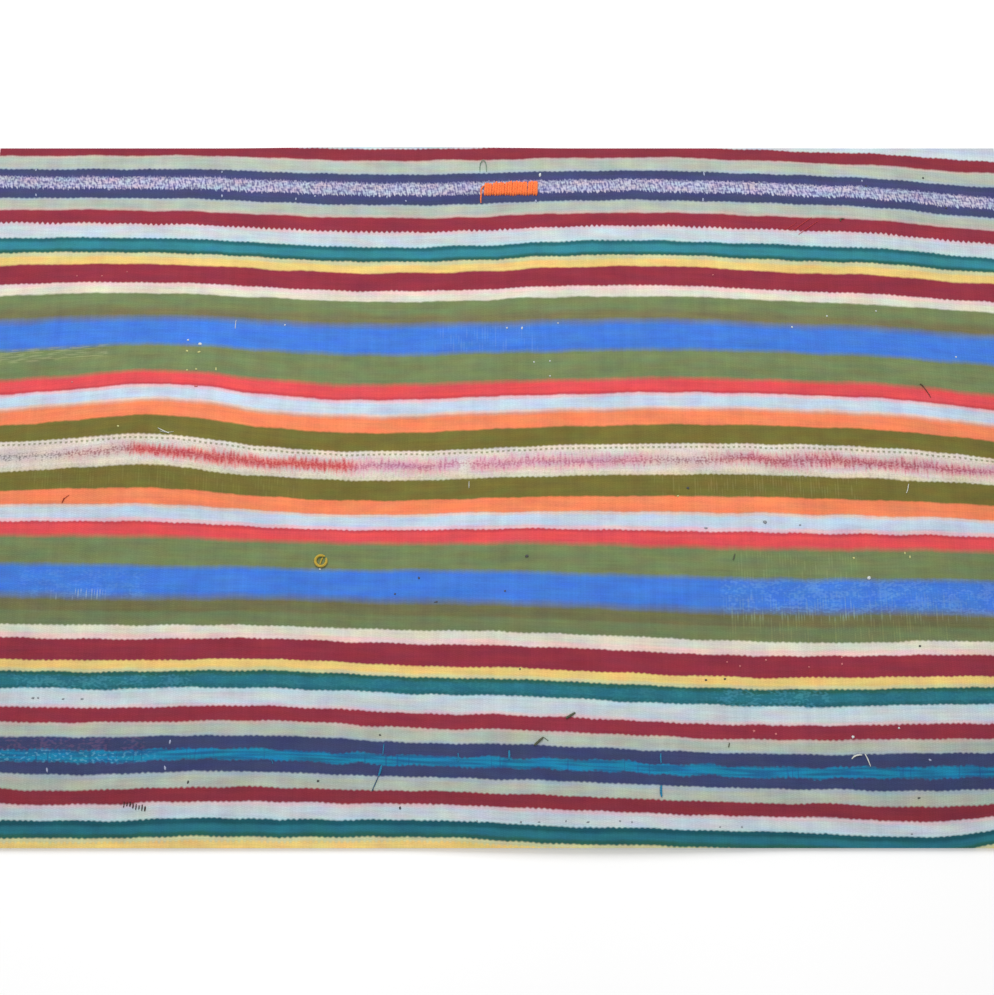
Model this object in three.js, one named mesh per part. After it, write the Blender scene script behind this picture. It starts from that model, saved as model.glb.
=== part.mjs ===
// A cut length of striped wool kilim, a flat-woven rug, lying on a floor with a few soft swells.
// Millimetres. +X runs along the stripes, +Y across them to the far edge, +Z up.
// The origin is on the floor, under the middle of the sheet.
import * as THREE from 'three';

// Driving sizes
const length = 1000; // along the stripes
const width = 686; // across the stripes
const thickness = 3; // a weft-faced wool weave
const largestCell = 25; // the longest side of a face on the sheet

// Where the cloth stands off the floor: low rounded mounds, each an ellipse that runs out smoothly.
// x and y are its middle, turn is in degrees, and height is at its middle.
const swells = [
  { place: 'left of the middle', x: -320, y: 40, halfLength: 190, halfWidth: 130, turn: -8, height: 9 },
  { place: 'far side, right', x: 330, y: 270, halfLength: 165, halfWidth: 80, turn: -12, height: 6 },
  { place: 'far edge, middle', x: -110, y: 300, halfLength: 210, halfWidth: 95, turn: 4, height: 5 },
  { place: 'right edge', x: 470, y: 50, halfLength: 120, halfWidth: 105, turn: 0, height: 5 },
  { place: 'near edge, middle', x: 80, y: -300, halfLength: 215, halfWidth: 95, turn: -4, height: 6 },
  { place: 'near side, left', x: -390, y: -265, halfLength: 100, halfWidth: 70, turn: -6, height: 4 },
  { place: 'near side, right', x: 385, y: -235, halfLength: 140, halfWidth: 100, turn: 10, height: 8 },
];

const clothMaterial = new THREE.MeshStandardMaterial({
  name: 'striped wool',
  color: new THREE.Color(0.49, 0.45, 0.42),
  roughness: 0.92,
  metalness: 0,
});

// The height of one swell over the point x, y
function swellHeight(swell, x, y) {
  const turn = THREE.MathUtils.degToRad(swell.turn);
  const alongX = x - swell.x;
  const alongY = y - swell.y;
  const across = (alongX * Math.cos(turn) + alongY * Math.sin(turn)) / swell.halfLength;
  const up = (alongY * Math.cos(turn) - alongX * Math.sin(turn)) / swell.halfWidth;
  const inside = Math.max(0, 1 - across * across - up * up);
  return swell.height * inside * inside;
}

// How far the cloth's underside is off the floor at x, y
function lift(x, y) {
  return swells.reduce((sum, swell) => sum + swellHeight(swell, x, y), 0);
}

// The sheet: a flat slab of even thickness whose two faces follow the swells together
function makeCloth() {
  const columns = Math.ceil(length / largestCell);
  const rows = Math.ceil(width / largestCell);
  const sheet = new THREE.BoxGeometry(length, width, thickness, columns, rows, 1);
  sheet.translate(0, 0, thickness / 2);
  const points = sheet.attributes.position;
  for (let i = 0; i < points.count; i += 1) {
    points.setZ(i, points.getZ(i) + lift(points.getX(i), points.getY(i)));
  }
  sheet.computeVertexNormals();
  const cloth = new THREE.Mesh(sheet, clothMaterial);
  cloth.name = 'kilim_cloth';
  return cloth;
}

const kilim = new THREE.Group();
kilim.name = 'kilim';
kilim.add(makeCloth());

export default kilim;
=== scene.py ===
"""A cut length of striped wool kilim, a flat-woven rug, lying on a pale floor with a few soft swells.

Metres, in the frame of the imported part: +X runs along the stripes, +Y across them to the far edge, +Z up.
Sizes named in millimetres are multiplied by MM where they are used.
"""
import math
import random
from collections import namedtuple

import bmesh
import bpy
import numpy as np
from mathutils import Matrix, Vector


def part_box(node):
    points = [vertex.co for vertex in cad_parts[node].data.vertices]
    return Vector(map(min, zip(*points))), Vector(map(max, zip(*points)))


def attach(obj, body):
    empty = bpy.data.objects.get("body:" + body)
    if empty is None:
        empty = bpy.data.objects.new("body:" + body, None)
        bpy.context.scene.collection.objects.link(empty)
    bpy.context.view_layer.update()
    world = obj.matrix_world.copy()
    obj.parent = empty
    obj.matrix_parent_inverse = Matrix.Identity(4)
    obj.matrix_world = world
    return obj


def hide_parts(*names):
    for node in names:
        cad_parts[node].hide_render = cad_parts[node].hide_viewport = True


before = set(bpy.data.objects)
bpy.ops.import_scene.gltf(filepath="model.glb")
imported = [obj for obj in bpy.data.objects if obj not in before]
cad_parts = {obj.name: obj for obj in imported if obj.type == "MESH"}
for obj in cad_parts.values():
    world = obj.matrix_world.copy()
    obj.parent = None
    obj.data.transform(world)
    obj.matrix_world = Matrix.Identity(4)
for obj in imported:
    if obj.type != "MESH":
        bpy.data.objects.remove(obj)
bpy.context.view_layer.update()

# Sizes

MM = 0.001
CLOTH_NODE = "kilim_cloth"
CLOTH_LOW, CLOTH_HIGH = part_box(CLOTH_NODE)
LENGTH = CLOTH_HIGH.x - CLOTH_LOW.x  # along the stripes
WIDTH = CLOTH_HIGH.y - CLOTH_LOW.y  # across the stripes
THICKNESS = 3 * MM

WARPS = 392  # warps across the length
WARP_PITCH = LENGTH / WARPS
RIB_DEPTH = 0.25 * MM  # how far the cloth drops between two warps
COLUMNS_PER_WARP = 2
ROWS = 60
PICK_PITCH_MM = 1.9  # from one float of weft to the next on one warp
WARP_WANDER = 1.2 * MM  # how far the warps stray sideways

# The camera, through which the places read off the photo are found again on the cloth

ELEVATION = math.radians(75)
DISTANCE = 1.4
AIM = Vector((0, -21 * MM, THICKNESS))
TOWARDS = Vector((0, math.cos(ELEVATION), -math.sin(ELEVATION)))  # the way that it looks
EYE = AIM - TOWARDS * DISTANCE
LENS_MM = 53.75
SENSOR_MM = 36.0
PHOTO_ACROSS, PHOTO_DOWN = 994, 995  # how many pixels the photo has

# Mounds, in millimetres. Each has its most at its middle x, y and runs out smoothly at the rim of an ellipse.

Mound = namedtuple("Mound", "place x y half_length half_width turn most")

# How far the cloth stands off the floor

SWELLS = (
    Mound("left of the middle", -320, 40, 190, 130, -8, 9),
    Mound("far side, right", 330, 270, 165, 80, -12, 6),
    Mound("far edge, middle", -110, 300, 210, 95, 4, 5),
    Mound("right edge", 470, 50, 120, 105, 0, 5),
    Mound("near edge, middle", 80, -300, 215, 95, -4, 6),
    Mound("near side, left", -390, -265, 100, 70, -6, 4),
    Mound("near side, right", 385, -235, 140, 100, 10, 8),
)

# How far the wefts stray from straight lines towards the far edge, beside the lean of all of them

SWAYS = (
    Mound("far side, left of the middle", -130, 250, 190, 260, 0, -6.5),
    Mound("left of the middle", -140, 20, 215, 140, 0, -8),
    Mound("far side, right of the middle", 155, 260, 185, 240, 0, 6),
    Mound("right of the middle", 240, 50, 250, 150, 0, 5.5),
    Mound("right end, far side", 540, 220, 200, 400, 0, -9.5),
    Mound("right end, middle", 540, 50, 190, 80, 0, -6),
    Mound("right end, near side", 560, -130, 200, 100, 0, -5),
    Mound("left end, middle", -540, 100, 190, 200, 0, -10),
    Mound("left end, far corner", -520, 350, 260, 110, 0, -4),
    Mound("bulge left of the middle", -315, 60, 95, 120, 0, 4.5),
    Mound("near side, left", -220, -230, 160, 170, 0, 4.5),
    Mound("near edge, left of the middle", -70, -340, 130, 90, 0, 4),
    Mound("near side, right", 250, -200, 270, 210, 0, -6),
    Mound("near edge, right", 380, -330, 110, 70, 0, -4),
    Mound("near corner, left", -420, -320, 160, 90, 0, -3),
    Mound("near corner, right", 465, -365, 80, 70, 0, 12),
)
LEAN = 0.016  # how much lower the wefts lie for each step to the right


def add_up(mounds, x, y):
    """The sum of the mounds at x, y."""
    total = 0.0 * x
    for mound in mounds:
        turn = math.radians(mound.turn)
        along_x = x / MM - mound.x
        along_y = y / MM - mound.y
        across = (along_x * math.cos(turn) + along_y * math.sin(turn)) / mound.half_length
        up = (along_y * math.cos(turn) - along_x * math.sin(turn)) / mound.half_width
        inside = np.maximum(0.0, 1 - across * across - up * up)
        total = total + mound.most * inside * inside
    return total * MM


def lift(x, y):
    """How far the cloth's underside is off the floor at x, y."""
    return add_up(SWELLS, x, y)


def weft_place(x, y):
    """Which weft crosses each x, y: where it would lie if it didn't stray, in millimetres."""
    return (y + LEAN * x - add_up(SWAYS, x, y)) / MM


# The wools, as sRGB. Shaded teal, shaded green and shaded brown are darker copies of deep teal, green and
# olive brown: painted shade on the cloth's near side

WOOLS = {
    "aged maroon": (138, 50, 64),
    "maroon": (148, 52, 68),
    "pink sage": (200, 182, 174),
    "sage": (178, 187, 175),
    "grey sage": (170, 184, 190),
    "slate": (66, 73, 111),
    "navy": (62, 70, 110),
    "pink white": (218, 194, 202),
    "pale blue white": (199, 210, 217),
    "sea white": (190, 216, 222),
    "shaded teal": (28, 88, 100),
    "deep teal": (38, 102, 110),
    "teal": (54, 133, 148),
    "bottle green": (42, 97, 88),
    "dark teal": (42, 114, 130),
    "lemon": (206, 206, 160),
    "yellow": (237, 205, 126),
    "cream": (231, 221, 207),
    "olive cream": (222, 214, 188),
    "pink cream": (237, 205, 201),
    "green cream": (222, 220, 202),
    "green": (120, 134, 91),
    "shaded green": (115, 127, 88),
    "olive brown": (122, 120, 84),
    "shaded brown": (114, 114, 78),
    "blue": (70, 126, 222),
    "coral red": (230, 83, 88),
    "dark red": (200, 72, 82),
    "rose white": (232, 192, 202),
    "pale blue": (198, 214, 232),
    "peach white": (228, 200, 190),
    "peach": (226, 158, 134),
    "orange": (247, 139, 96),
    "dark olive": (120, 112, 55),
}

# The stripe plan, from beyond the far edge to beyond the near one. Each stripe has its wool, its width and
# the kind of edge that it meets the stripe before it with. Narrow pink, grey and greenish stripes are where
# dye has run.

Stripe = namedtuple("Stripe", "wool width_mm edge")
FIRST_STRIPE_MM = 380
STRIPES = (
    Stripe("pale blue white", 36.5, "straight"),
    Stripe("aged maroon", 13, "fine"),
    Stripe("pink sage", 2, "straight"),
    Stripe("sage", 10.5, "blended"),
    Stripe("grey sage", 2.5, "blended"),
    Stripe("slate", 33, "fine"),
    Stripe("grey sage", 2, "fine"),
    Stripe("sage", 9, "blended"),
    Stripe("pink sage", 2.5, "blended"),
    Stripe("maroon", 14.5, "straight"),
    Stripe("pink white", 3, "toothed"),
    Stripe("pale blue white", 10, "blended"),
    Stripe("sea white", 2.5, "blended"),
    Stripe("deep teal", 4, "fine"),
    Stripe("teal", 8, "blended"),
    Stripe("bottle green", 3.5, "blended"),
    Stripe("lemon", 4, "fine"),
    Stripe("yellow", 8, "blended"),
    Stripe("maroon", 19.5, "straight"),
    Stripe("pink cream", 4, "fine"),
    Stripe("green cream", 7, "blended"),
    Stripe("green", 14.5, "straight"),
    Stripe("olive brown", 12, "soft"),
    Stripe("blue", 28.5, "washed"),
    Stripe("green", 30.5, "soft"),
    Stripe("coral red", 12, "soft"),
    Stripe("dark red", 2.5, "blended"),
    Stripe("rose white", 3, "straight"),
    Stripe("pale blue", 10.5, "blended"),
    Stripe("peach white", 2.5, "blended"),
    Stripe("peach", 2.5, "blended"),
    Stripe("orange", 13.5, "blended"),
    Stripe("dark olive", 18.5, "straight"),
    Stripe("cream", 25.5, "fine"),
    Stripe("olive cream", 4, "blended"),
    Stripe("dark olive", 20.5, "fine"),
    Stripe("orange", 13.5, "straight"),
    Stripe("peach", 1, "blended"),
    Stripe("peach white", 2.5, "blended"),
    Stripe("pale blue", 10.5, "blended"),
    Stripe("rose white", 3.5, "blended"),
    Stripe("dark red", 2.5, "fine"),
    Stripe("coral red", 11.5, "blended"),
    Stripe("green", 28, "soft"),
    Stripe("blue", 28.5, "soft"),
    Stripe("shaded brown", 14.5, "washed"),
    Stripe("shaded green", 13.5, "blended"),
    Stripe("green cream", 7.5, "fine"),
    Stripe("pink cream", 5, "blended"),
    Stripe("maroon", 20, "fine"),
    Stripe("yellow", 7.5, "fine"),
    Stripe("lemon", 3, "blended"),
    Stripe("bottle green", 4, "fine"),
    Stripe("dark teal", 8.5, "blended"),
    Stripe("deep teal", 3.5, "blended"),
    Stripe("sea white", 3.5, "fine"),
    Stripe("pale blue white", 11, "blended"),
    Stripe("pink white", 2.5, "blended"),
    Stripe("maroon", 13.5, "fine"),
    Stripe("pink sage", 2.5, "fine"),
    Stripe("sage", 8.5, "blended"),
    Stripe("grey sage", 2, "blended"),
    Stripe("navy", 32, "fine"),
    Stripe("grey sage", 3.5, "fine"),
    Stripe("sage", 9.5, "blended"),
    Stripe("aged maroon", 12.5, "fine"),
    Stripe("pink white", 3, "fine"),
    Stripe("pale blue white", 9, "blended"),
    Stripe("sea white", 2, "blended"),
    Stripe("shaded teal", 5, "fine"),
    Stripe("dark teal", 6.5, "blended"),
    Stripe("bottle green", 4, "blended"),
    Stripe("lemon", 3.5, "fine"),
    Stripe("yellow", 40, "blended"),
)
TOOTH_MM = {"toothed": 0.75, "fine": 0.3, "straight": 0.04, "soft": 0.1, "washed": 0.1, "blended": 0.05}
LONGEST_TOOTH_MM = 0.8
SOFTNESS_MM = {"toothed": 1.4, "fine": 1.6, "straight": 1.8, "soft": 6, "washed": 9.6, "blended": 2.6}
EDGE_SHARE = 0.48  # how much of a narrow stripe half of an edge may take up

# Bands within stripes: the places of their far and near edges

LAVENDER_MM = (305, 294)  # two-coloured twisted wool in the slate stripe
LAVENDER_SLOPE = 0.0026  # how much lower it lies towards the right
DOTS_IN_MM = 3.1  # from the cream stripe's far edge to the dots along it
CREAM_MM = (30.5, 1)  # the middle stripe
CYAN_MM = (-264.5, -272)  # darned in by hand in the navy stripe

# The heart of the cream stripe. Each dye has a ground, how much of it shows, the marks on it and how many
# they are. Each stretch says where its dye lies along the length, and between two stretches the dyes blend.

Dye = namedtuple("Dye", "ground cover marks share")
DYES = {
    "grey": Dye((204, 192, 186), 0.5, (116, 106, 104), 0.4),
    "dull rose": Dye((210, 176, 174), 0.6, (150, 96, 102), 0.46),
    "red": Dye((218, 122, 122), 0.9, (186, 58, 66), 0.62),
    "pink": Dye((222, 166, 182), 0.86, (182, 104, 130), 0.52),
    "bare": Dye((222, 204, 204), 0.5, (186, 130, 146), 0.34),
    "rose": Dye((214, 148, 158), 0.84, (168, 66, 86), 0.58),
}
Stretch = namedtuple("Stretch", "dye left right")
HEART = (
    Stretch("grey", -500, -420),
    Stretch("dull rose", -405, -355),
    Stretch("red", -340, -142),
    Stretch("pink", -130, -40),
    Stretch("bare", -34, -30),
    Stretch("pink", -22, 120),
    Stretch("dull rose", 165, 185),
    Stretch("rose", 240, 430),
    Stretch("pink", 480, 500),
)
HEART_DOWN_MM = 0.5  # how much nearer it lies than the cream stripe's middle
RED_UP_MM = 1.4  # how much further away a part of the red stretch lies


def linear(srgb, alpha=1.0):
    """An sRGB colour of 0 to 255 as the linear colour that shaders take."""
    shares = [part / 255 for part in srgb]
    return (*(s / 12.92 if s <= 0.04045 else ((s + 0.055) / 1.055) ** 2.4 for s in shares), alpha)


def grey(share):
    return (share, share, share, 1.0)


# Shader building


class Value:
    """A number or colour that varies over a surface. Arithmetic on it adds Math nodes."""

    def __init__(self, finish, socket):
        self.finish = finish
        self.socket = socket

    def math(self, operation, *others):
        return self.finish.add("ShaderNodeMath", {"operation": operation}, (self, *others))

    def __add__(self, other):
        return self.math("ADD", other)

    def __mul__(self, other):
        return self.math("MULTIPLY", other)

    def __sub__(self, other):
        return self.math("SUBTRACT", other)

    def __rsub__(self, other):
        return self.finish.add("ShaderNodeMath", {"operation": "SUBTRACT"}, (other, self))

    def __truediv__(self, other):
        return self.math("DIVIDE", other)

    __radd__ = __add__
    __rmul__ = __mul__

    def wave(self, turns=1.0):
        """A cosine from -1 to 1 that comes round that many times for each 1 of this value."""
        return (self * (2 * math.pi * turns)).math("COSINE")

    def over(self, low, high):
        """0 where this value is at or past low, 1 where it is at or past high, even between."""
        return self.finish.add("ShaderNodeMapRange", {"clamp": True}, (self, low, high, 0.0, 1.0))


class Finish:
    """A material that is being built from nodes."""

    MIX_FACTOR, MIX_A, MIX_B, MIX_RESULT = 0, 6, 7, 2
    SCALE_INPUT = 3
    OBJECT_OUTPUT = 3
    RAMP_STOPS = 24

    def __init__(self, name):
        self.material = bpy.data.materials.new(name)
        self.material.use_nodes = True
        self.tree = self.material.node_tree
        self.tree.nodes.clear()

    def add(self, kind, settings=None, inputs=(), output=0):
        """A node of that kind, its inputs given by number or by name. Gives one of its outputs."""
        node = self.tree.nodes.new(kind)
        for key, setting in (settings or {}).items():
            if key == "stops":
                self.set_stops(node.color_ramp, setting)
            elif key == "steps":
                node.color_ramp.interpolation = setting
            else:
                setattr(node, key, setting)
        for place, value in inputs.items() if isinstance(inputs, dict) else enumerate(inputs):
            if isinstance(value, Value):
                self.tree.links.new(value.socket, node.inputs[place])
            else:
                node.inputs[place].default_value = value
        return Value(self, node.outputs[output])

    @staticmethod
    def set_stops(ramp, stops):
        while len(ramp.elements) < len(stops):
            ramp.elements.new(1.0)
        for element, (position, colour) in zip(ramp.elements, stops):
            element.position = position
            element.color = colour

    def parts(self, vector, *axes):
        """The numbers that a vector holds along those axes."""
        return [self.add("ShaderNodeSeparateXYZ", {}, (vector,), axis) for axis in axes]

    def mix(self, factor, first, second, blend="MIX"):
        settings = {"data_type": "RGBA", "blend_type": blend}
        inputs = {self.MIX_FACTOR: factor, self.MIX_A: first, self.MIX_B: second}
        return self.add("ShaderNodeMix", settings, inputs, self.MIX_RESULT)

    def scale(self, colour, factor):
        return self.add("ShaderNodeVectorMath", {"operation": "SCALE"}, {0: colour, self.SCALE_INPUT: factor})

    def tint(self, colour, red, green, blue):
        by = self.add("ShaderNodeCombineXYZ", {}, (red, green, blue))
        return self.add("ShaderNodeVectorMath", {"operation": "MULTIPLY"}, (colour, by))

    def noise(self, x, y, seed, detail=0.0):
        """Soft noise around 0, mostly from -0.5 to 0.5, that changes over about 1 of x and of y."""
        at = self.add("ShaderNodeCombineXYZ", {}, (x + seed * 17.3, y + seed * 5.1))
        inputs = {"Vector": at, "Scale": 1.0, "Detail": detail, "Roughness": 0.55}
        return self.add("ShaderNodeTexNoise", {"noise_dimensions": "2D"}, inputs) * 2.0 - 1.0

    def ramp(self, at, stops, steps="LINEAR"):
        """A colour for each number, from stops in rising order. A long list goes over to a further ramp."""
        colour = None
        for first in range(0, len(stops), self.RAMP_STOPS):
            chosen = stops[first:first + self.RAMP_STOPS]
            low, high = chosen[0][0], chosen[-1][0] + 1
            shares = [((place - low) / (high - low), tint) for place, tint in chosen]
            share = (at - low) / (high - low)
            part = self.add("ShaderNodeValToRGB", {"stops": shares, "steps": steps}, (share,))
            if colour is None:
                colour = part
            else:
                colour = self.mix(at.math("GREATER_THAN", low), colour, part)
        return colour

    def surface(self, colour, roughness, normal, **constants):
        """The shader and the output. The constants are the shader's own plain values."""
        inputs = {"Base Color": colour, "Roughness": roughness, "Normal": normal, **constants}
        shader = self.add("ShaderNodeBsdfPrincipled", {}, inputs)
        self.add_output(shader)

    def add_output(self, shader):
        output = self.tree.nodes.new("ShaderNodeOutputMaterial")
        self.tree.links.new(shader.socket, output.inputs["Surface"])


# The cloth's finish

Patch = namedtuple("Patch", "place texture left right far near feather tone cover")
PATCHES = (
    Patch("rubbed blue, near right", "flecks", 212, 490, -95, -120, 10, (118, 168, 236), 0.36),
    Patch("bared warps, low in that blue", "warps", 214, 330, -110, -126, 9, (142, 176, 190), 0.2),
    Patch("bared warps, further right", "warps", 310, 440, -106, -126, 9, (142, 176, 190), 0.15),
    Patch("bared warps in the brown below", "warps", 218, 420, -124, -148, 8, (170, 174, 112), 0.15),
    Patch("bared warps in the green above", "warps", 225, 330, -70, -91, 8, (158, 172, 122), 0.2),
    Patch("rubbed blue, near left", "flecks", -440, -330, -98, -120, 9, (118, 168, 236), 0.18),
    Patch("bared warps on its edge", "warps", -410, -365, -116, -124, 4, (184, 200, 210), 0.34),
    Patch("bared warps in the near olive", "warps", 150, 345, 0, -18, 5, (158, 150, 96), 0.26),
    Patch("bared warps in the left olive", "warps", -440, -180, 0, -18, 5, (150, 146, 84), 0.18),
    Patch("rubbed edge of the far blue", "wefts", -520, -378, 126, 114, 3, (166, 172, 128), 0.4),
    Patch("rubbed teal, near left", "flecks", -440, -280, -196, -209, 3, (84, 162, 182), 0.26),
    Patch("rubbed teal, near right", "flecks", 200, 300, -194, -209, 3, (84, 162, 186), 0.3),
    Patch("rubbed teal, the rest", "flecks", -520, 520, -195, -207, 3, (70, 146, 160), 0.2),
    Patch("streaks in the far blue", "warps", -60, 40, 151, 128, 8, (112, 154, 224), 0.3),
    Patch("dye in the near navy", "flecks", -500, -320, -252, -262, 3, (118, 92, 128), 0.4),
)


class Weave(Finish):
    """The striped wool, drawn from the count of warps and the place of the weft at each point."""

    def __init__(self, name):
        super().__init__(name)
        cloth_map = self.add("ShaderNodeUVMap", {"uv_map": "weave"})
        self.warp, self.weft = self.parts(cloth_map, 0, 1)
        self.x = self.warp * (WARP_PITCH / MM) - 0.5 * LENGTH / MM
        self.rib = self.warp.wave() * 0.5 + 0.5
        self.tooth = self.warp.wave(0.5)
        odd = (self.warp + 0.5).math("FLOOR").math("PINGPONG", 1.0)
        self.pick = (self.weft / PICK_PITCH_MM + odd * 0.5).wave() * 0.5 + 0.5
        self.flecks = self.grain(3.4, 2.0, 1)
        self.wefts = self.grain(14, 1.4, 2)
        self.single_warp = (self.warp + 0.5).math("FLOOR")
        self.warps = self.noise(self.single_warp * 3.7, self.weft / 13.0, 3) - (1.0 - self.rib) * 0.8

    def grain(self, along, across, seed, detail=0.0):
        """Noise with features of about that many millimetres along and across the stripes."""
        return self.noise(self.x / along, self.weft / across, seed, detail)

    def band(self, line, far, near, feather):
        """1 between the two places across the stripes, 0 outside, with soft edges."""
        return line.over(near - feather, near) * line.over(far + feather, far)

    def stretch(self, left, right, feather):
        """1 between the two places along the stripes, 0 outside, with soft ends."""
        return self.x.over(left - feather, left) * self.x.over(right + feather, right)

    def stripes(self):
        """The stripe plan, with teeth where the wefts of two wools lock round the warps."""
        colours = []
        teeth = []
        place = -FIRST_STRIPE_MM
        for before, after in zip(STRIPES, STRIPES[1:]):
            teeth.append((place + 0.5 * before.width_mm, grey(TOOTH_MM[after.edge] / LONGEST_TOOTH_MM)))
            place += before.width_mm
            narrower = min(before.width_mm, after.width_mm)
            half = min(0.5 * SOFTNESS_MM[after.edge], EDGE_SHARE * narrower)
            colours += [(place - half, linear(WOOLS[before.wool])), (place + half, linear(WOOLS[after.wool]))]
        nearness = self.weft * -1.0
        size = self.ramp(nearness, teeth, "CONSTANT") * LONGEST_TOOTH_MM
        uneven = self.grain(16, 12, 4) * 0.9 + 1.0
        wobble = self.grain(34, 30, 5) * 1.1 + self.grain(6, 9, 6) * 0.45
        self.line = self.weft + wobble + self.tooth * uneven * size
        return self.ramp(self.line * -1.0, colours)

    def lay_lavender(self, under):
        """Two-coloured twisted wool: slanted pale flecks of changing tint on purple, with ragged edges."""
        violet = self.band(self.line, LAVENDER_MM[0] + 4, LAVENDER_MM[1] - 4, 3) * 0.5
        under = self.mix(violet, under, linear((74, 72, 126)))
        slant = (self.x + self.weft * 0.2) / 1.7
        marks = self.noise(slant, self.weft / 4.5, 7)
        pale = (marks + self.flecks * 0.7).over(-0.6, 0.45)
        stops = [
            (-0.4, linear((208, 198, 216))),
            (-0.1, linear((203, 200, 222))),
            (0.15, linear((200, 203, 223))),
            (0.4, linear((188, 200, 220))),
        ]
        colour = self.mix(pale * 0.92, linear((110, 108, 152)), self.ramp(self.grain(12, 9, 8), stops))
        ragged = self.line + self.x * LAVENDER_SLOPE + marks * 2.2
        return self.mix(self.band(ragged, *LAVENDER_MM, 1.8), under, colour)

    def lay_cream_heart(self, under):
        """Dark dots along the cream stripe's far edge, and its heart of broken pinks and reds."""
        grounds = []
        marks = []
        for stretch in HEART:
            dye = DYES[stretch.dye]
            for end in (stretch.left, stretch.right):
                grounds.append((end, linear(dye.ground, dye.cover)))
                marks.append((end, linear(dye.marks, dye.share)))
        bases = self.ramp(self.x, grounds)
        flecks = self.ramp(self.x, marks)
        raised = self.x.over(-210, -190) * self.x.over(-138, -148) * RED_UP_MM
        middle = 0.5 * sum(CREAM_MM) - HEART_DOWN_MM
        offset = (self.line - middle - raised + self.grain(48, 40, 9) * 2.6).math("ABSOLUTE")
        broken = self.noise(self.warp * 1.3, self.weft / 1.6, 10)
        frayed = self.noise(self.warp * 1.1, self.weft / 9.0, 11)
        reach = offset + broken * 2.0 + frayed * 4.0
        halo = reach.over(12.5, 5.0) * 0.55
        colour = self.mix(halo, under, linear((226, 207, 206)))
        specks = (broken + frayed).over(0.0, 0.45) * offset.over(16.0, 13.0)
        colour = self.mix(specks * 0.3, colour, linear((176, 160, 156)))
        colour = self.mix(reach.over(9.0, 3.0) * self.only_alpha(bases), colour, bases)
        broken_up = (reach.over(8.5, -0.5) + broken * 0.7 + self.only_alpha(flecks) - 1.0).over(0.0, 0.62)
        colour = self.mix(broken_up * offset.over(11.0, 8.5) * 0.8, colour, flecks)
        dots_at = CREAM_MM[0] - DOTS_IN_MM
        dots = (self.line - dots_at).math("ABSOLUTE").over(1.6, 0.3) * self.tooth.over(-0.4, 0.6)
        return self.mix(dots * 0.75, colour, linear((118, 124, 80)))

    def only_alpha(self, ramped):
        """The alpha that a single colour ramp gives beside its colour."""
        return Value(self, ramped.socket.node.outputs["Alpha"])

    def lay_cyan(self, under):
        """Streaky cyan wool darned in by hand, with darker breaks where one stitch meets the next."""
        streaks = self.grain(40, 2.6, 12).over(-0.35, 0.3)
        colour = self.mix(streaks, linear((34, 106, 150)), linear((30, 136, 178)))
        breaks = self.grain(2.2, 40, 13).over(0.36, 0.52) * self.grain(60, 200, 14).over(-0.05, 0.25) * 0.6
        colour = self.mix(breaks, colour, linear((38, 88, 140)))
        lights = self.flecks.over(0.2, 0.4) * self.x.over(-300, -340) * 0.5
        colour = self.mix(lights, colour, linear((108, 176, 208)))
        ragged = self.line + self.grain(24, 60, 15) * 2.6 + self.flecks * 0.8
        return self.mix(self.band(ragged, *CYAN_MM, 2.0), under, colour)

    def lay_patches(self, colour):
        """Worn and rubbed places."""
        textures = {
            "flecks": (self.flecks + self.grain(16, 8, 27) * 0.8).over(-0.1, 0.5),
            "wefts": self.wefts.over(0.0, 0.2),
            "warps": self.warps.over(-0.1, 0.25),
        }
        for patch in PATCHES:
            where = self.stretch(patch.left, patch.right, patch.feather)
            where = where * self.band(self.weft, patch.far, patch.near, 0.5 * patch.feather)
            colour = self.mix(where * textures[patch.texture] * patch.cover, colour, linear(patch.tone))
        return colour


# How much each of these changes the cloth's colour, as shares. The streak, cloud, yarn and warp shades are
# the wool's own tone; the rib and pick shades are painted shade in the valleys between the warps and between
# the weft floats; the corner shade is painted shade in the near corners

STREAK_SHADE = 0.1
CLOUD_SHADE = 0.1
YARN_SHADE = 0.06
WARP_SHADE = 0.06
PAINTED_RIB_SHADE = 0.04
PAINTED_PICK_SHADE = 0.03
# Painted shade, darker towards both ends on the near side
PAINTED_CORNER_SHADE = 0.1  # in the near corners
NEARNESS = 0.0014  # how quickly that painted shade grows towards the near edge, for each millimetre
WARMTH = 0.1
ROSINESS = 0.11


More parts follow.
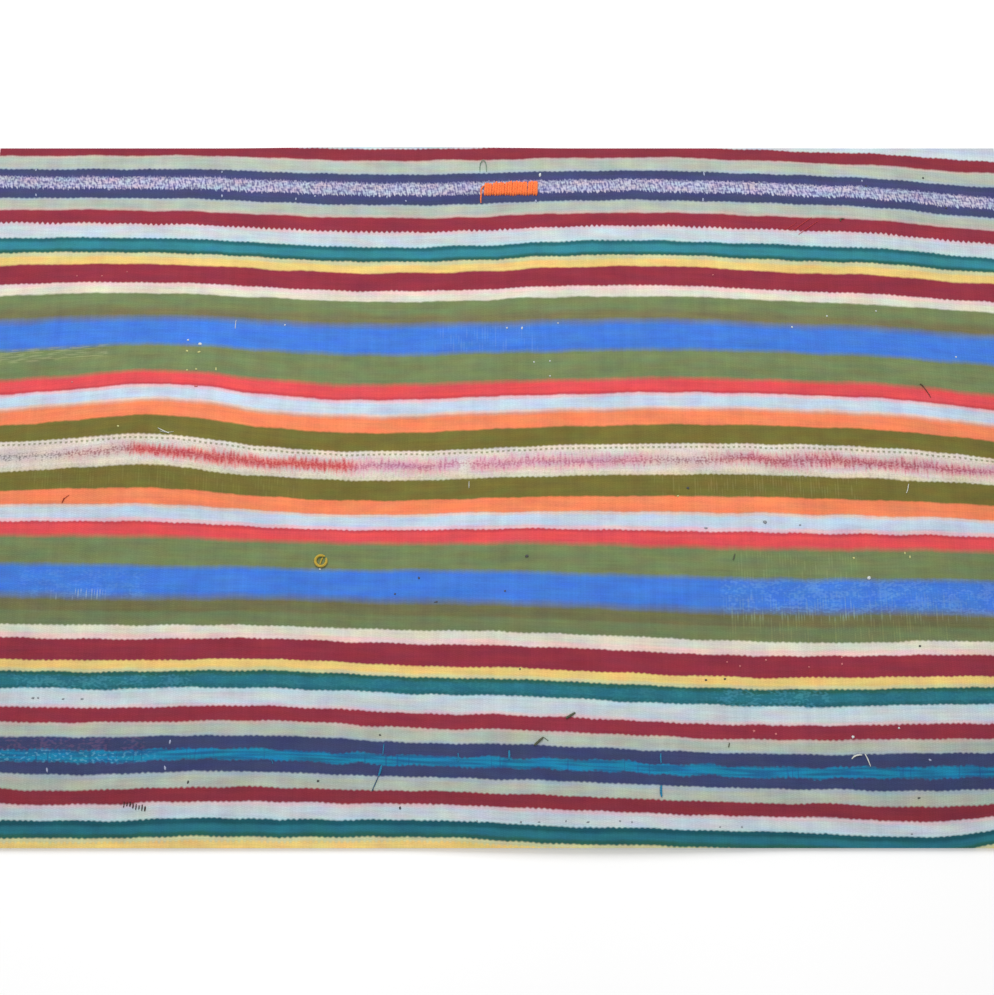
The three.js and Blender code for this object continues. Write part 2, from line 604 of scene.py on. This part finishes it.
def striped_wool():
    """The cloth's finish."""
    weave = Weave("striped wool")
    colour = weave.stripes()
    colour = weave.lay_lavender(colour)
    colour = weave.lay_cream_heart(colour)
    colour = weave.lay_cyan(colour)
    colour = weave.lay_patches(colour)
    streaks = weave.grain(45, 1.8, 20, 1.0)
    cloudy = weave.grain(50, 14, 21)
    yarn = weave.noise(weave.warp * 0.9, weave.weft / 1.1, 22)
    runs = weave.noise(weave.single_warp * 0.41, weave.weft / 40.0, 26)
    light = 1.0 + streaks * STREAK_SHADE + cloudy * CLOUD_SHADE + yarn * YARN_SHADE + runs * WARP_SHADE
    ends = (weave.x / (0.5 * LENGTH / MM)).math("POWER", 4.0)
    nearness = weave.weft * -NEARNESS + 0.5
    # Painted shade: darker in the valleys between the warps and between the weft floats
    light = light * (weave.rib * PAINTED_RIB_SHADE + 0.97) * (weave.pick * PAINTED_PICK_SHADE + 0.985)
    # Painted shade: darker towards both ends on the near side, most in the near corners
    light = light * (1.0 - ends * nearness * PAINTED_CORNER_SHADE)
    warm = weave.grain(30, 7, 23)
    rosy = weave.grain(18, 8, 24)
    colour = weave.tint(colour, 1.0 + warm * WARMTH, 1.0 - rosy * ROSINESS, 1.0 - warm * WARMTH)
    colour = weave.scale(colour, light)
    fuzz = weave.noise(weave.warp * 2.7, weave.weft * 2.0, 25, 1.0)
    height = weave.rib * 0.1 + weave.rib * weave.pick * 0.11 + fuzz * 0.05
    normal = weave.add("ShaderNodeBump", {}, {"Strength": 0.9, "Distance": MM, "Height": height})
    constants = {"Specular IOR Level": 0.15, "Sheen Weight": 0.08, "Sheen Roughness": 0.5}
    weave.surface(colour, 0.93, normal, **constants)
    return weave.material


def yarn_wool(name, srgb):
    """Loose woollen yarn: a soft twist and small changes of shade."""
    finish = Finish(name)
    place = finish.add("ShaderNodeTexCoord", {}, (), Finish.OBJECT_OUTPUT)
    x, y = (part / MM for part in finish.parts(place, 0, 1))
    shade = finish.noise(x / 1.5, y / 1.5, 30, 1.0)
    twist = ((x + y * 0.6) / 1.1 + shade).wave()
    colour = finish.scale(linear(srgb)[:3], 1.0 + shade * 0.3 + twist * 0.06)
    height = twist * 0.1 + shade * 0.2
    normal = finish.add("ShaderNodeBump", {}, {"Strength": 0.8, "Distance": MM, "Height": height})
    constants = {"Specular IOR Level": 0.15, "Sheen Weight": 0.1, "Sheen Roughness": 0.5}
    finish.surface(colour, 0.9, normal, **constants)
    return finish.material


# The cloth

UP_SHARE = 0.7  # a face whose normal points up or down by more than this is top or underside


def add_maps(mesh, place, weft):
    """The weave's own map, and one for baking: the top face large, the underside and cut edges beside it."""
    corners = np.empty(len(mesh.loops), np.int32)
    mesh.loops.foreach_get("vertex_index", corners)
    normals = np.empty(len(mesh.polygons) * 3, np.float32)
    mesh.polygons.foreach_get("normal", normals)
    sizes = np.empty(len(mesh.polygons), np.int32)
    mesh.polygons.foreach_get("loop_total", sizes)
    normal = np.repeat(normals.reshape(-1, 3), sizes, axis=0)
    point = place[corners]

    weave = mesh.uv_layers.new(name="weave")
    threads = (mesh_warp(point[:, 0], point[:, 1]), weft[corners])
    weave.data.foreach_set("uv", np.stack(threads, axis=1).astype(np.float32).ravel())

    margin, top_share, under_share = 0.01, 0.98, 0.44
    under_start, rim_start, rim_left, rim_share, rim_gap = 0.69, 0.75, 0.47, 0.5, 0.02
    across = (point[:, 0] + 0.5 * LENGTH) / LENGTH
    up = (point[:, 1] + 0.5 * WIDTH) / LENGTH
    depth = point[:, 2] - lift(point[:, 0], point[:, 1])
    u = margin + across * top_share
    v = margin + up * top_share
    under = normal[:, 2] < -UP_SHARE
    u[under] = margin + across[under] * under_share
    v[under] = under_start + up[under] * under_share
    rim_rows = (
        (normal[:, 1] > UP_SHARE, across, 0),
        (normal[:, 1] < -UP_SHARE, across, 1),
        (normal[:, 0] > UP_SHARE, up, 2),
        (normal[:, 0] < -UP_SHARE, up, 3),
    )
    for chosen, along, row in rim_rows:
        u[chosen] = rim_left + along[chosen] * rim_share
        v[chosen] = rim_start + row * rim_gap + depth[chosen] / LENGTH * rim_share
    bake = mesh.uv_layers.new(name="OFBake")
    bake.data.foreach_set("uv", np.stack((u, v), axis=1).astype(np.float32).ravel())


def sideways(x, y):
    """How far the warps stray to the side at x, y: nothing at the left and right edges."""
    hold = 1 - (2 * x / LENGTH) ** 8
    return WARP_WANDER * hold * np.sin(9 * y + 5 * x + 0.6)


def mesh_warp(x, y):
    """The count of warps from the left edge at x, y, where the warps have already strayed."""
    straight = x
    for _ in range(4):
        straight = x - sideways(straight, y)
    return (straight + 0.5 * LENGTH) / WARP_PITCH


def link(name, mesh):
    """An object for the mesh, at the origin."""
    piece = bpy.data.objects.new(name, mesh)
    bpy.context.collection.objects.link(piece)
    return piece


def make_weave():
    """The cloth: a grid with two columns for each warp, ribbed on both faces, closed round its cut edges."""
    bm = bmesh.new()
    bmesh.ops.create_grid(bm, x_segments=COLUMNS_PER_WARP * WARPS, y_segments=ROWS, size=0.5)
    bmesh.ops.scale(bm, vec=(LENGTH, WIDTH, 1), verts=bm.verts)
    grown = bmesh.ops.extrude_face_region(bm, geom=bm.faces[:], use_keep_orig=True)
    raised = [part for part in grown["geom"] if isinstance(part, bmesh.types.BMVert)]
    bmesh.ops.translate(bm, vec=(0, 0, THICKNESS), verts=raised)
    bmesh.ops.recalc_face_normals(bm, faces=bm.faces)
    for face in bm.faces:
        face.smooth = True
    for edge in bm.edges:
        edge.smooth = edge.calc_face_angle(0) < math.radians(60)
    mesh = bpy.data.meshes.new("kilim_weave")
    bm.to_mesh(mesh)
    bm.free()

    place = np.empty(len(mesh.vertices) * 3, np.float32)
    mesh.vertices.foreach_get("co", place)
    place = place.reshape(-1, 3).astype(float)
    top = place[:, 2] > 0.5 * THICKNESS
    warp = (place[:, 0] + 0.5 * LENGTH) / WARP_PITCH
    valley = 0.5 - 0.5 * np.cos(2 * math.pi * warp)
    place[:, 0] += sideways(place[:, 0], place[:, 1])
    place[:, 2] += np.where(top, -1, 1) * RIB_DEPTH * valley + lift(place[:, 0], place[:, 1])
    weft = weft_place(place[:, 0], place[:, 1])
    mesh.vertices.foreach_set("co", place.astype(np.float32).ravel())
    mesh.update()
    add_maps(mesh, place, weft)
    mesh.materials.append(striped_wool())
    return link("kilim_weave", mesh)


# Loose yarns and stitches on the face of the cloth. These pixels of the photo were read off it.

SPOTS = {
    "darn, far left": (485, 183),
    "darn, far right": (536, 181),
    "darn, near left": (485, 195),
    "darn, near right": (536, 195),
    "darn's tail": (481, 190),
    "green loop": (480, 172),
    "far diagonal": (567, 717),
    "near diagonal": (536, 744),
    "near diagonal's tail": (544, 737),
    "comma": (844, 219),
    "tick in the green": (734, 557),
    "tick over the navy": (729, 745),
    "brown hair": (921, 385),
    "brown marks, left": (124, 804),
    "brown marks, right": (145, 808),
    "rust mark": (62, 503),
    "red thread": (790, 232),
    "yellow ring": (321, 561),
    "pale thread, left": (158, 428),
    "pale tick, left": (236, 323),
    "pale tick, middle": (469, 485),
    "pale thread, right": (909, 488),
    "arch, left foot": (853, 758),
    "arch, right foot": (866, 755),
    "arch's tail": (851, 779),
    "cyan over the tail": (384, 745),
    "cyan knot": (381, 772),
    "cyan join, left": (458, 757),
    "cyan join, middle": (509, 755),
    "cyan end, far": (661, 758),
    "cyan end, near": (661, 791),
    "cyan tick": (272, 761),
    "blue tail": (373, 790),
}


def seen(across, down):
    """The x and y in millimetres of the spot on the cloth's face that the photo shows at that pixel."""
    focal = PHOTO_ACROSS * LENS_MM / SENSOR_MM
    up = Vector((0, math.sin(ELEVATION), math.cos(ELEVATION)))
    right = Vector((1, 0, 0))
    ray = TOWARDS + right * ((across - 0.5 * PHOTO_ACROSS) / focal) + up * ((0.5 * PHOTO_DOWN - down) / focal)
    raised = 0.0
    for _ in range(3):
        spot = EYE + ray * ((THICKNESS + raised - EYE.z) / ray.z)
        raised = float(lift(spot.x, spot.y))
    return spot.x / MM, spot.y / MM


def on_cloth(x_mm, y_mm, height_mm=0.0):
    """The point at that height over the face of the cloth."""
    x, y = x_mm * MM, y_mm * MM
    return Vector((x, y, float(lift(x, y)) + THICKNESS + height_mm * MM))


Yarn = namedtuple("Yarn", "thickness points")
YARN_END = 0.55  # how thick a yarn is at its very end, as a share


def yarn_at(thickness, spot, *steps):
    """A yarn whose points are steps to the right, away and up from a named spot, in millimetres."""
    x, y = seen(*SPOTS[spot])
    return Yarn(thickness, tuple((x + right, y + away, height) for right, away, height in steps))


def make_yarns(name, wool, yarns):
    """Yarns of one wool as one mesh. Points are x, y and the height of the yarn's middle, in millimetres."""
    curve = bpy.data.curves.new(name, "CURVE")
    curve.dimensions = "3D"
    curve.bevel_depth = 0.5 * MM
    curve.bevel_resolution = 2
    curve.resolution_u = 5
    curve.use_fill_caps = True
    for yarn in yarns:
        spline = curve.splines.new("NURBS")
        spline.points.add(len(yarn.points) - 1)
        spline.order_u = min(4, len(yarn.points))
        spline.use_endpoint_u = True
        for point, at in zip(spline.points, yarn.points):
            point.co = (*on_cloth(*at), 1.0)
            point.radius = yarn.thickness
        for end in (0, -1):
            spline.points[end].radius = yarn.thickness * YARN_END
    holder = bpy.data.objects.new(name, curve)
    bpy.context.collection.objects.link(holder)
    depsgraph = bpy.context.evaluated_depsgraph_get()
    mesh = bpy.data.meshes.new_from_object(holder.evaluated_get(depsgraph))
    bpy.data.objects.remove(holder)
    mesh.name = name
    mesh.materials.clear()
    mesh.materials.append(yarn_wool(name.replace("_", " "), wool))
    for face in mesh.polygons:
        face.use_smooth = True
    return link(name, mesh)


DARN_STITCHES = 21
SUNK_MM = -0.8  # the height of a stitch's ends, under the cloth's face
EDGE_MM = 0.6  # its height where it leaves the cloth


def make_darn():
    """A hole closed with upright orange stitches side by side, and the yarn's tail at their left end."""
    draw = random.Random(7)
    left, far_left = seen(*SPOTS["darn, far left"])
    right, far_right = seen(*SPOTS["darn, far right"])
    near_left = seen(*SPOTS["darn, near left"])[1]
    near_right = seen(*SPOTS["darn, near right"])[1]
    yarns = []
    for stitch in range(DARN_STITCHES):
        share = stitch / (DARN_STITCHES - 1)
        x = left + share * (right - left)
        far = far_left + share * (far_right - far_left) + draw.uniform(-1.0, 0.9)
        near = near_left + share * (near_right - near_left) + draw.uniform(-0.5, 0.8)
        lean = draw.uniform(0.2, 1.5)
        top = draw.uniform(0.8, 1.2)
        points = (
            (x, near, SUNK_MM),
            (x + 0.1 * lean, near + 0.4, EDGE_MM),
            (x + 0.4 * lean, 0.7 * near + 0.3 * far, top),
            (x + 0.7 * lean, 0.3 * near + 0.7 * far, top),
            (x + 0.9 * lean, far - 0.4, EDGE_MM),
            (x + lean, far, SUNK_MM),
        )
        yarns.append(Yarn(draw.uniform(2.6, 3.1), points))
    tail = ((4, 5, 0.8), (1, 3, 0.9), (-0.5, -1, 0.8), (0.5, -6, 0.7), (-0.5, -10, 0.6), (0, -14, 0.3))
    yarns.append(yarn_at(1.5, "darn's tail", *tail))
    return make_yarns("orange_darn", (255, 132, 72), yarns)


BROWN_MARKS = 8
RING_RADIUS_MM = 5.5
RING_TURNS = range(50, 391, 34)  # degrees round the ring, which stays open


def brown_marks():
    """Short upright marks in a row between two spots."""
    draw = random.Random(8)
    left, left_y = seen(*SPOTS["brown marks, left"])
    right, right_y = seen(*SPOTS["brown marks, right"])
    marks = []
    for mark in range(BROWN_MARKS):
        share = mark / (BROWN_MARKS - 1)
        x = left + share * (right - left)
        y = left_y + share * (right_y - left_y) + draw.uniform(-0.8, 0.8)
        half = draw.uniform(1.7, 2.7)
        points = ((x, y + half, 0.2), (x + 0.3, y, 0.4), (x - 0.2, y - half, 0.2))
        marks.append(Yarn(draw.uniform(1.2, 2.0), points))
    return marks


def ring_steps():
    """The steps round an open ring."""
    turns = [math.radians(degrees) for degrees in RING_TURNS]
    return [(RING_RADIUS_MM * math.cos(turn), RING_RADIUS_MM * math.sin(turn), 1.0) for turn in turns]


def make_loose_yarns():
    """The ends and loops of yarn that lie on the cloth. None is longer than 3.5 cm."""
    rise = ((0, 0, 0.2), (-0.5, 6, 0.6), (1, 12, 0.9), (4, 13.5, 1))
    fall = ((6, 10, 0.9), (6.5, 5, 0.6), (6.5, 0, 0.2))
    pieces = {
        "green_loop": ((112, 142, 122), (
            yarn_at(0.8, "green loop", *rise, *fall),
        )),
        "dark_yarn_ends": ((94, 98, 78), (
            yarn_at(2.9, "far diagonal", (-1, -1, 0.5), (2.5, 1, 0.9), (7.5, 4, 0.6)),
            yarn_at(2.9, "near diagonal", (-1.5, -1, 0.5), (2, 2, 1.0), (6.5, 6, 0.6)),
            yarn_at(0.7, "near diagonal's tail", (-0.5, 0, 0.3), (2, -2, 0.5), (4, -3.5, 0.2)),
            yarn_at(1.3, "comma", (0, 0, 0.4), (-3, 1, 0.6), (-5, -1, 0.5), (-3, -2.5, 0.3)),
            yarn_at(1.6, "tick in the green", (-1, -3, 0.3), (0, 0, 0.5), (1, 3, 0.3)),
            yarn_at(1.4, "tick over the navy", (-0.5, -2, 0.3), (0, 0, 0.5), (0.5, 2, 0.3)),
        )),
        "brown_hair": ((84, 62, 52), (
            yarn_at(1.4, "brown hair", (-1, 1, 0.3), (1, 0, 0.7), (2, -2, 0.5)),
            yarn_at(0.8, "brown hair", (1, 0, 0.5), (3, -4, 0.9), (6, -8, 0.8), (8, -13, 0.3)),
        )),
        "brown_marks": ((70, 40, 38), brown_marks()),
        "rust_mark": ((150, 58, 44), (
            yarn_at(1.2, "rust mark", (0, 0, 0.3), (1, 2.5, 0.5), (2, 5, 0.4)),
            yarn_at(0.7, "rust mark", (1.5, 3.5, 0.4), (4, 6, 0.5), (6.5, 7.5, 0.3)),
        )),
        "red_thread": ((206, 70, 70), (
            yarn_at(0.7, "red thread", (2, 1, 0.1), (9, 6, 0.4), (16, 11, 0.4), (22, 15, 0.1)),
            yarn_at(0.6, "red thread", (8, -3, 0.1), (15, 2, 0.4), (22, 7, 0.4), (28, 11, 0.1)),
            yarn_at(0.5, "red thread", (-5, 2, 0.1), (1, 6, 0.3), (7, 10, 0.1)),
        )),
        "yellow_ring": ((196, 168, 66), (
            yarn_at(2.6, "yellow ring", *ring_steps()),
            yarn_at(1.8, "yellow ring", (1.5, 3, 0.4), (0, 0.5, 0.9), (-1, -4, 0.3)),
        )),
        "pale_threads": ((222, 224, 216), (
            yarn_at(1.1, "pale thread, left", (0, 0, 0.2), (3.5, -2, 0.7), (7.5, -4, 0.7), (11, -5, 0.2)),
            yarn_at(0.6, "pale thread, left", (2, -3, 0.2), (7, -5, 0.5), (15, -3.5, 0.2)),
            yarn_at(0.8, "pale tick, left", (0, 3, 0.2), (-0.5, -1.5, 0.4), (-0.5, -6, 0.2)),
            yarn_at(0.8, "pale tick, middle", (0, 3.5, 0.2), (0, 0.5, 0.4), (0, -3, 0.2)),
            yarn_at(0.9, "pale thread, right", (0, 4, 0.2), (-1, 1, 0.5), (-1, -2, 0.5), (-3, -5, 0.2)),
            yarn_at(1.6, "arch, left foot", (-1, -1, 0.2), (0.5, 2, 0.7), (4.5, 3, 0.9), (8, 2.5, 0.6)),
            yarn_at(1.2, "arch, right foot", (-1, 1, 0.2), (1, -2.5, 0.8), (2, -6, 0.7), (3.5, -10, 0.2)),
        )),
        "cyan_ends": ((44, 132, 172), (
            yarn_at(1.3, "cyan over the tail", (0, 1, 0.1), (-0.5, -4, 0.4), (-1, -9, 0.1)),
            yarn_at(2.6, "cyan knot", (0.5, 6, 0.2), (-0.5, 1, 0.8), (-2, -3.5, 0.3)),
            yarn_at(1.4, "cyan join, left", (0, 3.5, 0.1), (0.5, 0, 0.3), (0, -4, 0.1)),
            yarn_at(2.6, "cyan join, middle", (0, 4, 0.1), (0.5, 0, 0.5), (0, -4, 0.1)),
            yarn_at(1.8, "cyan end, far", (0, 4, 0.1), (-0.5, 0.5, 0.4), (0, -4.5, 0.1)),
            yarn_at(2.8, "cyan end, near", (0.5, 5, 0.2), (-0.5, 0, 0.6), (0.5, -5, 0.3)),
            yarn_at(0.8, "cyan tick", (-1, 2.5, 0.2), (0, 0, 0.4), (1, -2.5, 0.2)),
        )),
        "blue_tail": ((56, 92, 122), (
            yarn_at(1.0, "blue tail", (4.5, 12, 0.3), (3, 8, 0.6), (1, 3.5, 0.6), (-1, -1, 0.2)),
            yarn_at(0.6, "arch's tail", (1, 0, 0.1), (2, -3.5, 0.4), (3.5, -7.5, 0.1)),
        )),
    }
    return [make_yarns(name, wool, yarns) for name, (wool, yarns) in pieces.items()]


# Lint and burrs caught in the weave. Each has its pixel in the photo, read off it, and its size.

Speck = namedtuple("Speck", "where across down long_mm wide_mm")
PALE_LINT = (
    Speck("at the darn's far corner", 540, 175, 2.4, 4.4),
    Speck("on the far blue, left", 188, 340, 2.2, 2.0),
    Speck("beside it", 200, 344, 3.4, 3.0),
    Speck("far edge of that blue", 285, 325, 1.8, 1.4),
    Speck("further right on that edge", 507, 328, 1.6, 2.0),
    Speck("beside it", 522, 328, 1.6, 3.0),
    Speck("right of the two", 558, 323, 1.8, 1.2),
    Speck("right end of that edge", 792, 327, 1.6, 2.2),
    Speck("over it to the right", 827, 316, 1.8, 1.6),
    Speck("further right", 876, 311, 1.6, 1.6),
    Speck("right end of the far blue", 956, 357, 1.8, 1.6),
    Speck("under the far blue, middle", 534, 362, 1.5, 1.8),
    Speck("beside it", 550, 361, 1.5, 1.6),
    Speck("below it", 550, 376, 1.5, 1.6),
    Speck("on the near blue, right", 869, 578, 3.8, 3.4),
    Speck("at the ring's tip", 320, 569, 2.0, 1.8),
    Speck("near side, right", 853, 737, 2.8, 2.6),
    Speck("right of it", 899, 728, 2.0, 1.8),
)
BLUE_LINT = (
    Speck("slate, left end", 36, 170, 1.6, 3.2),
    Speck("under it", 36, 195, 1.6, 3.2),
    Speck("slate, left", 222, 172, 1.4, 2.8),
    Speck("under it", 222, 196, 1.8, 3.4),
    Speck("right of that", 296, 199, 1.4, 3.0),
    Speck("next one", 315, 196, 1.8, 2.4),
    Speck("left of the darn", 387, 197, 1.4, 3.4),
    Speck("beside it", 406, 201, 1.4, 2.2),
    Speck("under the darn's right end", 536, 201, 1.6, 3.2),
    Speck("slate, right", 704, 174, 1.6, 4.6),
    Speck("within the lavender", 705, 191, 1.4, 2.8),
    Speck("under both", 703, 200, 1.6, 4.6),
    Speck("slate, right end", 862, 181, 1.8, 2.2),
    Speck("below it", 865, 198, 2.4, 2.8),
    Speck("lowest of the three", 864, 207, 1.6, 2.2),
    Speck("navy, left", 170, 742, 1.8, 4.2),
    Speck("under it", 165, 768, 1.8, 4.0),
    Speck("navy, left end", 47, 770, 1.8, 4.4),
    Speck("navy, right end", 930, 760, 2.6, 1.8),
)
YELLOW_LINT = (
    Speck("under the far blue, left", 187, 351, 2.4, 2.2),
    Speck("beside it", 199, 352, 3.6, 1.9),
    Speck("above the far red, left", 187, 370, 2.0, 1.8),
    Speck("beside it", 196, 369, 2.0, 2.0),
    Speck("right of the two", 216, 369, 1.4, 3.4),
    Speck("far side of the cream, left", 118, 426, 2.2, 2.0),
    Speck("near side of the cream, right", 678, 496, 1.8, 1.6),
    Speck("under the near red, right", 854, 558, 2.4, 2.0),
    Speck("right of it", 905, 553, 1.4, 2.6),
    Speck("beside that", 910, 557, 1.4, 3.0),
)
PINK_LINT = (
    Speck("far red, left end", 72, 382, 2.0, 2.0),
    Speck("edge of the far red", 196, 386, 3.6, 2.2),
    Speck("far side, left", 77, 276, 1.5, 1.5),
    Speck("beside it", 102, 276, 1.7, 1.6),
    Speck("further right", 127, 272, 1.3, 1.3),
    Speck("far side, right", 713, 275, 1.5, 1.6),
    Speck("near maroon", 727, 662, 1.5, 1.6),
    Speck("beside it", 740, 666, 1.8, 2.0),
    Speck("right of the two", 766, 660, 2.0, 2.2),
    Speck("further right", 809, 667, 2.2, 1.3),
    Speck("upper of the last pair", 842, 657, 1.5, 3.0),
    Speck("lower of the last pair", 842, 664, 1.6, 2.6),
    Speck("near side, right", 754, 731, 2.6, 2.2),
    Speck("beside it", 776, 734, 2.2, 2.2),
)
DARK_BURRS = (
    Speck("far right corner", 946, 208, 2.4, 2.0),
    Speck("above it", 923, 178, 2.4, 2.0),
    Speck("slate, right end", 866, 186, 1.8, 1.8),
    Speck("near side of the cream", 688, 488, 2.8, 2.4),
    Speck("above the near blue", 527, 556, 3.4, 2.6),
    Speck("on the near blue, left", 395, 594, 2.0, 1.6),
    Speck("right of it", 419, 578, 1.6, 2.8),
    Speck("on its near edge", 436, 602, 3.2, 1.4),
    Speck("on the near blue, middle", 505, 591, 1.8, 1.8),
    Speck("right side, under the brown", 920, 646, 2.4, 2.0),
    Speck("near yellow, middle", 520, 669, 1.6, 1.8),
    Speck("near yellow, right", 706, 680, 2.2, 1.8),
    Speck("beside it", 725, 679, 2.4, 1.6),
    Speck("above the navy", 380, 735, 2.0, 1.8),
    Speck("under the navy, left", 188, 782, 1.8, 3.2),
    Speck("right of it", 318, 781, 2.6, 2.2),
    Speck("at the blue tail's end", 373, 790, 1.4, 1.4),
    Speck("below the tail", 400, 808, 2.2, 2.8),
    Speck("near right corner", 919, 798, 2.6, 1.8),
)
GREY_BURRS = (
    Speck("near pale blue, left one", 706, 528, 3.6, 1.6),
    Speck("right of it", 765, 522, 3.6, 3.2),
    Speck("further right", 800, 525, 2.2, 1.8),
    Speck("left side, under the teal", 33, 698, 3.0, 2.0),
    Speck("beside it", 38, 698, 2.0, 1.6),
    Speck("right of the two", 63, 699, 2.8, 1.6),
    Speck("further right", 82, 699, 2.6, 1.8),
    Speck("near edge, first in the row", 477, 821, 1.6, 1.4),
    Speck("second", 521, 822, 1.8, 2.0),
    Speck("third", 539, 822, 2.4, 1.4),
    Speck("fourth", 566, 821, 1.4, 1.8),
    Speck("fifth", 588, 822, 3.0, 1.4),
    Speck("sixth", 620, 821, 2.0, 1.4),
    Speck("seventh", 632, 822, 1.5, 1.5),
    Speck("eighth", 720, 827, 1.6, 1.4),
    Speck("ninth", 742, 827, 1.6, 1.6),
    Speck("last in the row", 912, 834, 2.0, 1.6),
)


BURR_HEIGHT = 0.5  # as a share of the smaller of its two sizes


def make_burrs(name, srgb, burrs, seed):
    """Small lumps of fibre, each half sunk in the weave."""
    draw = random.Random(seed)
    bm = bmesh.new()
    for burr in burrs:
        made = bmesh.ops.create_icosphere(bm, subdivisions=2, radius=0.5)["verts"]
        for vert in made:
            vert.co *= 1 + draw.uniform(-0.16, 0.16)
        tall = BURR_HEIGHT * min(burr.long_mm, burr.wide_mm)
        size = Matrix.Diagonal((burr.long_mm * MM, burr.wide_mm * MM, tall * MM, 1.0))
        turn = Matrix.Rotation(draw.uniform(-0.3, 0.3), 4, "Z")
        place = Matrix.Translation(on_cloth(*seen(burr.across, burr.down)))
        bmesh.ops.transform(bm, matrix=place @ turn @ size, verts=made)
    for face in bm.faces:
        face.smooth = True
    mesh = bpy.data.meshes.new(name)
    bm.to_mesh(mesh)
    bm.free()
    mesh.materials.append(yarn_wool(name.replace("_", " "), srgb))
    return link(name, mesh)


def make_all_burrs():
    return [
        make_burrs("pale_lint", (216, 222, 222), PALE_LINT, 11),
        make_burrs("blue_lint", (166, 174, 202), BLUE_LINT, 16),
        make_burrs("yellow_lint", (206, 206, 138), YELLOW_LINT, 12),
        make_burrs("pink_lint", (212, 120, 122), PINK_LINT, 13),
        make_burrs("dark_burrs", (84, 84, 84), DARK_BURRS, 14),
        make_burrs("grey_burrs", (146, 152, 158), GREY_BURRS, 15),
    ]


# The floor, light and camera

FLOOR_SIDE = 8.0
FLOOR_DROP = 0.4 * MM
FLOOR_GLOW = 0.13  # keeps the floor white out to the picture's edges
ROOM_LIGHT = 0.595
LAMP_PLACE = (-0.25, 1.5, 1.7)
LAMP_SIZE = 1.4
LAMP_WATTS = 33


def make_floor():
    """A plain pale floor."""
    bm = bmesh.new()
    bmesh.ops.create_grid(bm, x_segments=1, y_segments=1, size=0.5 * FLOOR_SIDE)
    bmesh.ops.translate(bm, vec=(0, 0, -FLOOR_DROP), verts=bm.verts)
    mesh = bpy.data.meshes.new("pale_floor")
    bm.to_mesh(mesh)
    bm.free()
    finish = Finish("pale floor")
    place = finish.add("ShaderNodeTexCoord", {}, (), Finish.OBJECT_OUTPUT)
    x, y = finish.parts(place, 0, 1)
    colour = finish.scale((1.0, 1.0, 1.0), finish.noise(x * 3, y * 3, 40) * 0.02 + 0.97)
    glow = {"Emission Color": (1.0, 1.0, 1.0, 1.0), "Emission Strength": FLOOR_GLOW}
    shader = finish.add("ShaderNodeBsdfPrincipled", {}, {"Base Color": colour, "Roughness": 0.9, **glow})
    finish.add_output(shader)
    mesh.materials.append(finish.material)
    link("pale_floor", mesh)


def light_scene():
    """A large soft lamp beyond the far edge and an even pale room."""
    world = bpy.data.worlds.new("pale room")
    world.use_nodes = True
    background = world.node_tree.nodes["Background"]
    background.inputs["Color"].default_value = (1.0, 1.0, 1.0, 1.0)
    background.inputs["Strength"].default_value = ROOM_LIGHT
    bpy.context.scene.world = world
    lamp = bpy.data.lights.new("soft lamp", "AREA")
    lamp.shape = "SQUARE"
    lamp.size = LAMP_SIZE
    lamp.energy = LAMP_WATTS
    holder = bpy.data.objects.new("soft lamp", lamp)
    holder.location = LAMP_PLACE
    holder.rotation_euler = (Vector((0, 0, 0)) - holder.location).to_track_quat("-Z", "Y").to_euler()
    bpy.context.collection.objects.link(holder)
    bpy.context.scene.view_settings.view_transform = "Standard"


def place_camera():
    """The camera looks down at the cloth from 75 degrees above the floor, on the near side."""
    data = bpy.data.cameras.new("camera")
    data.lens = LENS_MM
    data.sensor_width = SENSOR_MM
    data.sensor_fit = "HORIZONTAL"
    camera = bpy.data.objects.new("camera", data)
    camera.location = EYE
    camera.rotation_euler = TOWARDS.to_track_quat("-Z", "Y").to_euler()
    bpy.context.collection.objects.link(camera)
    bpy.context.scene.camera = camera


place_camera()
light_scene()
make_floor()
cloth = make_weave()
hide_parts(CLOTH_NODE)
for piece in [cloth, make_darn(), *make_loose_yarns(), *make_all_burrs()]:
    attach(piece, "root")
